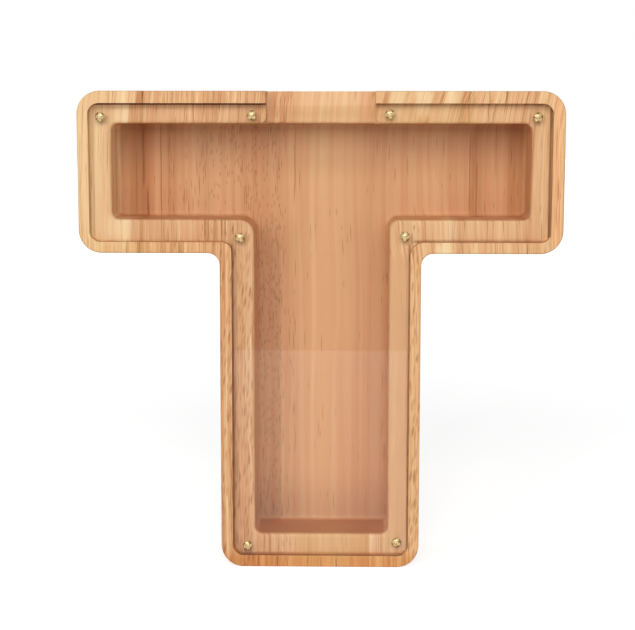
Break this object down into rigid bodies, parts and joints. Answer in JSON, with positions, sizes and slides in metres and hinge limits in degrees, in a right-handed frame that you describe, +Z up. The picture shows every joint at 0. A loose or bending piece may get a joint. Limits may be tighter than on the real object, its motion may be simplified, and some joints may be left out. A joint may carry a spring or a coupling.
{
  "type": "coin bank",
  "caption": "Free-standing wooden letter T coin bank: block of glued staves milled out from the front, clear screwed front panel, coin slot in the top.",
  "frame": {"origin": "middle of the stem's foot, on the surface that the box stands on", "axes": "+Z up, -Y towards the viewer of the clear front, +X to that viewer's right"},
  "size_m": [0.2, 0.04, 0.2],
  "materials": {
    "wood": "sanded and lightly oiled, satin",
    "clear_panel": "clear polished acrylic",
    "brass": "bright plated, satin"
  },
  "bodies": {
    "root": {"stave_far_left": "wood", "stave_left": "wood", "stave_middle": "wood", "stave_right": "wood", "stave_far_right": "wood"},
    "panel": {"front_panel": "clear_panel"},
    "screw_arm_left": {"screw_arm_left": "brass"},
    "screw_slot_left": {"screw_slot_left": "brass"},
    "screw_slot_right": {"screw_slot_right": "brass"},
    "screw_arm_right": {"screw_arm_right": "brass"},
    "screw_pit_left": {"screw_pit_left": "brass"},
    "screw_pit_right": {"screw_pit_right": "brass"},
    "screw_foot_left": {"screw_foot_left": "brass"},
    "screw_foot_right": {"screw_foot_right": "brass"}
  },
  "joints": [
    {"name": "panel_off", "type": "slide", "parent": "root", "child": "panel", "axis": [0, -1, 0], "range_m": [0, 0.04]},
    {"name": "screw_arm_left_out", "type": "slide", "parent": "panel", "child": "screw_arm_left", "axis": [0, -1, 0], "range_m": [0, 0.014]},
    {"name": "screw_slot_left_out", "type": "slide", "parent": "panel", "child": "screw_slot_left", "axis": [0, -1, 0], "range_m": [0, 0.014]},
    {"name": "screw_slot_right_out", "type": "slide", "parent": "panel", "child": "screw_slot_right", "axis": [0, -1, 0], "range_m": [0, 0.014]},
    {"name": "screw_arm_right_out", "type": "slide", "parent": "panel", "child": "screw_arm_right", "axis": [0, -1, 0], "range_m": [0, 0.014]},
    {"name": "screw_pit_left_out", "type": "slide", "parent": "panel", "child": "screw_pit_left", "axis": [0, -1, 0], "range_m": [0, 0.014]},
    {"name": "screw_pit_right_out", "type": "slide", "parent": "panel", "child": "screw_pit_right", "axis": [0, -1, 0], "range_m": [0, 0.014]},
    {"name": "screw_foot_left_out", "type": "slide", "parent": "panel", "child": "screw_foot_left", "axis": [0, -1, 0], "range_m": [0, 0.014]},
    {"name": "screw_foot_right_out", "type": "slide", "parent": "panel", "child": "screw_foot_right", "axis": [0, -1, 0], "range_m": [0, 0.014]}
  ]
}
